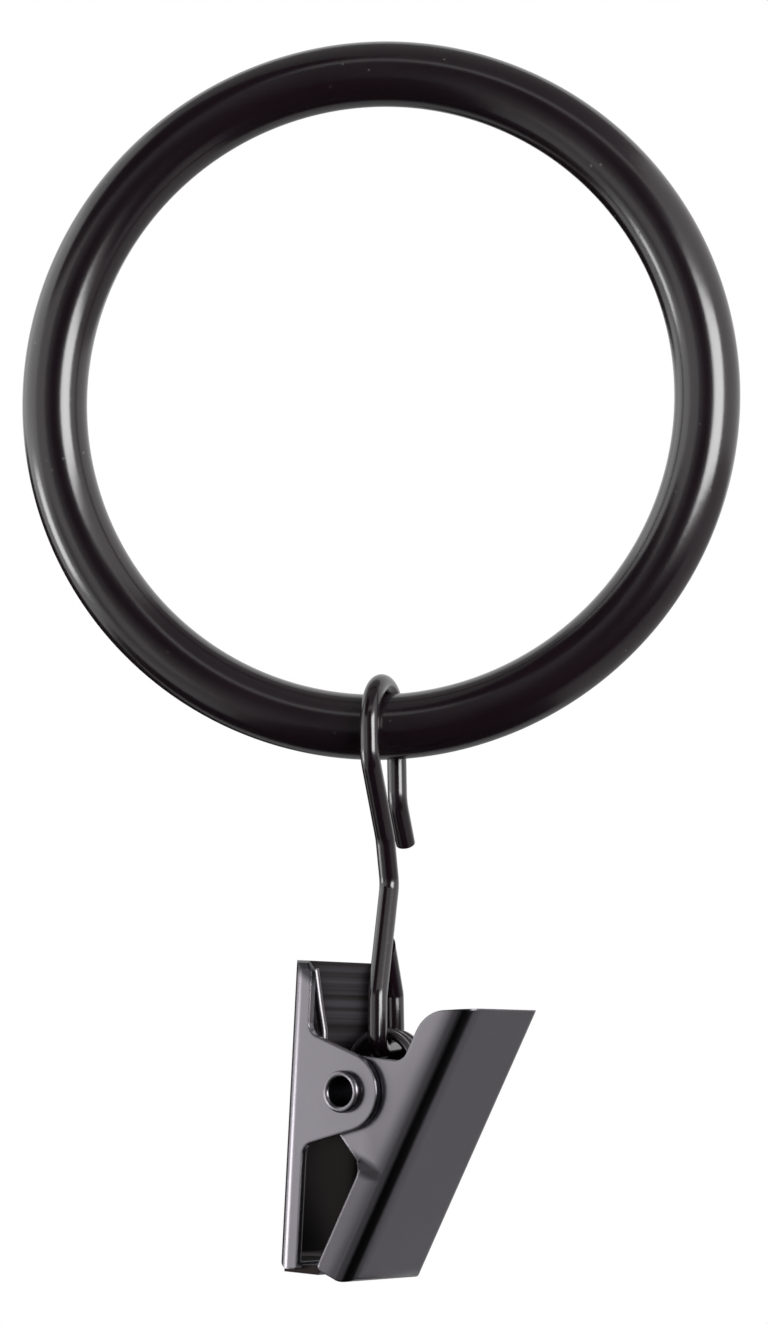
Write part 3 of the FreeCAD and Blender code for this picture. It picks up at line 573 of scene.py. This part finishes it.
def smooth_curve(points, fine=14):
    """Natural cubic spline through the points.

    Its second derivatives M solve M[i-1] + 4 M[i] + M[i+1] = 6 (second difference of the points).
    """
    n = len(points)
    system = np.diag(np.full(n, 4.0)) + np.diag(np.ones(n - 1), 1) + np.diag(np.ones(n - 1), -1)
    system[0], system[-1] = np.eye(n)[0], np.eye(n)[-1]
    right = np.zeros_like(points)
    right[1:-1] = 6 * (points[:-2] - 2 * points[1:-1] + points[2:])
    m = np.linalg.solve(system, right)
    t = np.linspace(0, 1, fine, endpoint=False)[None, :, None]
    a, b, ma, mb = points[:-1, None], points[1:, None], m[:-1, None], m[1:, None]
    s = 1 - t
    rows = a * s + b * t + ((s ** 3 - s) * ma + (t ** 3 - t) * mb) / 6
    return np.vstack([rows.reshape(-1, 3), points[-1:]])


def spring_piece(lean=0.45, knee=1.4):
    """Tube along leg, helix and leg; the helix is (R cos a, pitch a / 2 pi, R sin a).

    A leg bends sideways at knee from the coil, and leans outwards by lean from there to its end.
    """
    first, last = leg_foot(LEFT_TIP, 1), leg_foot(RIGHT_TIP, -1)
    sweep = (last - first) % ROUND + COIL_ROUNDS * ROUND
    length = COIL_PITCH * sweep / ROUND
    t = np.linspace(0, 1, int(ROUND_GUIDES * sweep / ROUND) + 1)
    t = 0.5 + (t - 0.5) * (1 - 2 * COIL_BLEND / COIL_R / sweep)
    a = first + sweep * t
    coil = np.stack([COIL_R * np.cos(a), length * (t - 0.5), COIL_LIFT + COIL_R * np.sin(a)], 1)
    ends = ((LEFT_TIP, first, -1, LEFT_SPLAY), (RIGHT_TIP, last, 1, RIGHT_SPLAY))
    legs = []
    for tip, angle, side, splay in ends:
        foot_u, foot_p = COIL_R * math.cos(angle), COIL_LIFT + COIL_R * math.sin(angle)
        foot = np.array([foot_u, side * length / 2, foot_p])
        end = np.array([tip[0], side * splay, tip[1]])
        bend = foot + (end - foot) * knee / np.linalg.norm(end - foot)
        bend[1] = side * (splay - lean)
        legs.append(end + (bend - end) * np.linspace(0, 1, LEG_GUIDES)[:, None])
    path = in_clip(smooth_curve(np.vstack([legs[0], coil, legs[1][::-1]])))
    rows = tube(path, COIL_WIRE / 2, W, sides=24)
    rows, first_end = domed(rows, 0, SPRING_DOME, steps=3)
    rows, last_end = domed(rows, -1, SPRING_DOME, steps=3)
    return skin("spring_wire", rows, (first_end, last_end))


spring = spring_piece()
dress(spring, SPRING_FINISH, None, "torsion_spring")
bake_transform(spring)

# %% [markdown]
# ## Inside of a fold
# The jaws are folded from sheet, and the inside of a fold is painted darker, as painted shade. A face
# belongs to the inside by the way it looks, towards or away from the jaw's web and flanks, and by how
# deep it lies.

# %% Faces inside a fold
FACING, FACING_DOWN = 0.4, 0.75
LIP_INSET, LIP_DEPTH, BEND_ROOM = 0.15, 0.85, 0.8


def jaw_axes(lean):
    """Directions across a leaning jaw and up along it."""
    return U * math.cos(lean) - P * math.sin(lean), U * math.sin(lean) + P * math.cos(lean)


def inside_faces(mesh, lean, web, side):
    """Mask of the faces inside the fold, from each face's normal and middle in the jaw's own frame."""
    across, up = jaw_axes(lean)
    count = len(mesh.polygons)
    normal, centre = np.empty(count * 3), np.empty(count * 3)
    mesh.polygons.foreach_get("normal", normal)
    mesh.polygons.foreach_get("center", centre)
    normal, centre = normal.reshape(-1, 3), centre.reshape(-1, 3) / MM - PIVOT
    to_web = normal @ across * side
    to_flank = normal @ W * np.sign(centre @ W)
    depth = centre @ across * side
    between_flanks = np.abs(centre @ W) < JAW_WIDTH / 2 - GAUGE - LIP_INSET
    lip_end = (to_flank > FACING) & between_flanks & (depth < web - LIP_DEPTH)
    mouth_end = normal @ up < -FACING_DOWN
    web_back = (to_web < -FACING) & (depth > web - GAUGE - BEND_ROOM)
    return lip_end | mouth_end | web_back | (to_flank < -FACING)


# %% [markdown]
# ## Finish of the inside
# Inside a fold the metal is painted darker and browner than outside, as painted shade. Soft cross bands
# above the rivet are painted reflections.

# %% Finish of the inside
# The inside tint is painted shade, and the band tint is painted reflection.
INSIDE_SHADE_TINT, REFLECTION_BAND_TINT = (0.019, 0.0145, 0.0145, 1), (0.075, 0.068, 0.079, 1)
INSIDE_ROUGH, INSIDE_UNEVEN = 0.26, 0.08


def shaded_inside(name, direction, middle):
    """Dull dark brown metal as painted shade, with soft cross bands of painted reflection that begin 1 to
    4 mm from middle along direction.
    """
    material, shader, place = new_finish(name, Metallic=1.0)
    height = along(place, direction) - float(np.dot(direction, middle)) * MM
    # Bands of painted reflection over the painted shade of the inside.
    reflection_bands = bands(height, size_mm=0.7).step(low=0.3, high=0.7) * height.step(low=1 * MM, high=4 * MM)
    plug(shader, Base_Color=reflection_bands.mix(INSIDE_SHADE_TINT, REFLECTION_BAND_TINT))
    plug(shader, Roughness=INSIDE_ROUGH + noise(place, size_mm=2.0) * INSIDE_UNEVEN)
    return material


# %% [markdown]
# ## Painted shade
# Shade is painted darker at the corners of the outer jaw's handle end, beside the inner jaw's folds and
# in its sideways step. Each mask is made from distances in the jaw's own directions, in millimetres.

# %% Painted shade
OUTER_RISE, CORNER_SLOPE = 8.03, 0.55


def from_rivet(place, direction):
    """Distance from the rivet's middle along a direction, in millimetres."""
    return along(place, direction) * (1 / MM) - float(direction @ PIVOT)


def outer_shade_mask(place):
    """1 over the corners of the outer jaw's handle end, where shade is painted."""
    across, up = jaw_axes(OUTER_LEAN)
    from_web = OUTER_WEB + from_rivet(place, across)
    from_end = OUTER_RISE - from_rivet(place, up)
    return 1 - (from_end - from_web * CORNER_SLOPE).step(low=0.1, high=0.8)


def inner_shade_mask(place):
    """1 beside the inner jaw's folds and in its sideways step, where shade is painted."""
    across, up = jaw_axes(INNER_LEAN)
    from_web = INNER_WEB - from_rivet(place, across)
    below = 0 - from_rivet(place, up)
    fold = 1 - from_web.step(low=0.9, high=2.2)
    sideways = below.step(low=2.9, high=3.4) * (1 - below.step(low=3.8, high=4.4))
    return from_web.maths("MAXIMUM", fold, sideways) * from_web.step(low=0.1, high=0.6)


# %% [markdown]
# ## Jaws
# The shape of the jaws is already right in the solids. A copy of each is merged into large faces, with
# sharp lines at the cut edges, so that the flat sheet mirrors like a flat sheet.

# %% Jaws
SAME_POINT, SAME_PLANE, CUT_EDGE = 0.002 * MM, math.radians(1), math.radians(35)
FLAT_WEIGHT = 90


def folded_sheet(node):
    """Copy of a CAD node with its triangles merged, smooth in the bends and sharp at the cut edges."""
    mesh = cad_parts[node].data.copy()
    work = bmesh.new()
    work.from_mesh(mesh)
    bmesh.ops.remove_doubles(work, verts=work.verts, dist=SAME_POINT)
    bmesh.ops.dissolve_limit(work, angle_limit=SAME_PLANE, verts=work.verts, edges=work.edges)
    work.to_mesh(mesh)
    work.free()
    mesh.shade_smooth()
    mesh.set_sharp_from_angle(angle=CUT_EDGE)
    piece = bpy.data.objects.new(node + "_sheet", mesh)
    bpy.context.scene.collection.objects.link(piece)
    flat = piece.modifiers.new("flat", "WEIGHTED_NORMAL")
    flat.weight, flat.keep_sharp = FLAT_WEIGHT, True
    return piece


# The last entry of each row is the mask of painted shade for that jaw's plating.
JAWS = (
    ("outer_jaw", OUTER_LEAN, OUTER_WEB, -1, outer_shade_mask),
    ("inner_jaw", INNER_LEAN, INNER_WEB, 1, inner_shade_mask),
)
for node, lean, web, side, shade_mask in JAWS:
    jaw = folded_sheet(node)
    finish = black_plating(node + "_plating", CLIP_TINT, CLIP_ROUGH, EDGE_ROLL, shade_mask)
    dress(jaw, finish, node, node)
    inside = inside_faces(jaw.data, lean, web, side)
    # The faces inside the fold get painted shade, with bands of painted reflection.
    jaw.data.materials.append(shaded_inside(node + "_inside", jaw_axes(lean)[1], PIVOT))
    jaw.data.polygons.foreach_set("material_index", inside.astype(int))
    print(jaw.name, len(inside), "faces,", int(inside.sum()), "of them inside")

# %% [markdown]
# ## Stage
# The stage is made of matt rectangles, which are no part of the object.

# %% Stage rectangle
NEARLY_LEVEL = 0.9


def card(name, centre, normal, width, height, colour):
    """Matt rectangle facing along normal, in metres; returns it and its finish."""
    normal = unit(np.array(normal, float))
    side = unit(np.cross((0, 0, 1.0) if abs(normal[2]) < NEARLY_LEVEL else (0, 1.0, 0), normal))
    up = np.cross(normal, side)
    corner = np.array([[-1, -1], [1, -1], [1, 1], [-1, 1]]) * 0.5
    points = np.array(centre) + corner[:, :1] * width * side + corner[:, 1:] * height * up
    mesh = bpy.data.meshes.new(name)
    mesh.from_pydata(points.tolist(), [], [(0, 1, 2, 3)])
    piece = bpy.data.objects.new(name, mesh)
    bpy.context.scene.collection.objects.link(piece)
    finish = new_finish(name, Base_Color=colour, Roughness=0.9, Specular_IOR_Level=0.0)
    mesh.materials.append(finish[0])
    return piece, finish


# %% [markdown]
# ## Surround
# The part hangs in front of white: the surround is white where the camera or a mirror looks, and half as
# strong for soft light. The floor under the part is pale, and white to the camera.

# %% Surround
WHITE, PALE = (1, 1, 1, 1), (0.8, 0.8, 0.8, 1)
SOFT_LEVEL = 0.5


def white_world():
    """Strength 1 for camera, mirror and see-through rays, and SOFT_LEVEL for soft light."""
    world = bpy.data.worlds.new("surround")
    bpy.context.scene.world = world
    world.use_nodes = True
    start = Field(world.node_tree, None)
    rays = world.node_tree.nodes.new("ShaderNodeLightPath")
    seen = [Field(world.node_tree, rays.outputs[k]) for k in
            ("Is Camera Ray", "Is Glossy Ray", "Is Transmission Ray")]
    direct = start.maths("MINIMUM", seen[0] + seen[1] + seen[2], 1.0)
    background = world.node_tree.nodes["Background"]
    strength = SOFT_LEVEL + direct * (1 - SOFT_LEVEL)
    world.node_tree.links.new(strength.socket, background.inputs["Strength"])
    background.inputs["Color"].default_value = WHITE


def pale_floor():
    """Pale floor under the hanging part, white to the camera."""
    _, (material, shader, _) = card("floor", (0, 0, -0.35), (0, 0, 1), 8, 8, PALE)
    tree = material.node_tree
    start = Field(tree, None)
    white = start.node("ShaderNodeEmission", None, {"Color": WHITE, "Strength": 1.0})
    rays = tree.nodes.new("ShaderNodeLightPath")
    seen = Field(tree, rays.outputs["Is Camera Ray"])
    surface = Field(tree, shader.outputs[0])
    mixed = start.node("ShaderNodeMixShader", None, {0: seen, 1: surface, 2: white})
    tree.links.new(mixed.socket, tree.nodes["Material Output"].inputs["Surface"])


white_world()
pale_floor()
print("surround", bpy.context.scene.world.name)

# %% [markdown]
# ## Cards
# A black part shows what it mirrors, so black cards round it keep it dark. The front card fades to black
# from pale at the left of the part, and a grey card lies above. The camera does not see the cards.

# %% Cards
BLACK, GREY = (0.02, 0.02, 0.02, 1), (0.6, 0.6, 0.6, 1)
FADE_FROM, FADE_TO = -0.36, 0.05
CARDS = (
    ("front_card", (0.07, -0.75, 0.0), (0, 1, 0), 0.86, 1.1, BLACK),
    ("low_card", (-0.02, -0.3, -0.3), (0, 0, 1), 0.36, 0.94, BLACK),
    ("left_low_card", (-0.36, 0.08, -0.31), (0, 0, 1), 0.32, 0.26, BLACK),
    ("right_low_card", (0.4, -0.53, -0.31), (0, 0, 1), 0.5, 0.62, BLACK),
    ("back_card", (-0.361, 0.463, -0.155), (0.602, -0.771, 0.208), 0.5, 0.4, BLACK),
    ("high_card", (-0.315, -0.315, 0.4), (0.525, 0.525, -0.67), 0.45, 0.45, BLACK),
    ("top_card", (0, -0.1, 0.55), (0, 0, -1), 0.9, 0.9, GREY),
)
finishes = {}
for row in CARDS:
    piece, finish = card(*row)
    piece.visible_camera = False
    finishes[piece.name] = finish
_, front_shader, place = finishes["front_card"]
fade = along(place, (1, 0, 0)).step(FADE_FROM, FADE_TO)
plug(front_shader, Base_Color=fade.mix(PALE, BLACK))
print("cards", list(finishes))

# %% [markdown]
# ## Lamps
# Four soft boxes aim at a point just below the ring: a wide weak one on the left, a small bright one on
# each side, which draw the bright lines, and a weak one in front, on the left and a little below.

# %% Lamps
AIM = np.array([0, 0, -0.03])
LAMPS = (
    ("left_box", (-0.996, 0.05, 0.08), 0.6, 0.75, 0.8, 0.7),
    ("right_box", (0.706, -0.682, 0.191), 0.3, 0.18, 0.15, 10.0),
    ("rim_box", (-0.985, -0.069, -0.156), 0.6, 0.2, 0.19, 7.5),
    ("fill_box", (-0.602, -0.771, -0.208), 0.7, 0.25, 0.3, 0.45),
)


def lamp(name, direction, distance, width, height, radiance):
    """Soft box that faces the part; its power is pi times area times radiance."""
    data = bpy.data.lights.new(name, "AREA")
    data.shape, data.size, data.size_y = "RECTANGLE", width, height
    data.energy = math.pi * width * height * radiance
    place = AIM + unit(np.array(direction, float)) * distance
    z = unit(place - AIM)
    x = unit(np.cross((0, 0, 1.0), z))
    matrix = np.eye(4)
    matrix[:3, 0], matrix[:3, 1], matrix[:3, 2], matrix[:3, 3] = x, np.cross(z, x), z, place
    light = bpy.data.objects.new(name, data)
    bpy.context.scene.collection.objects.link(light)
    light.matrix_world = Matrix(matrix.tolist())


for row in LAMPS:
    lamp(*row)
bpy.context.scene.view_settings.view_transform = "Standard"
print("lamps", [row[0] for row in LAMPS])
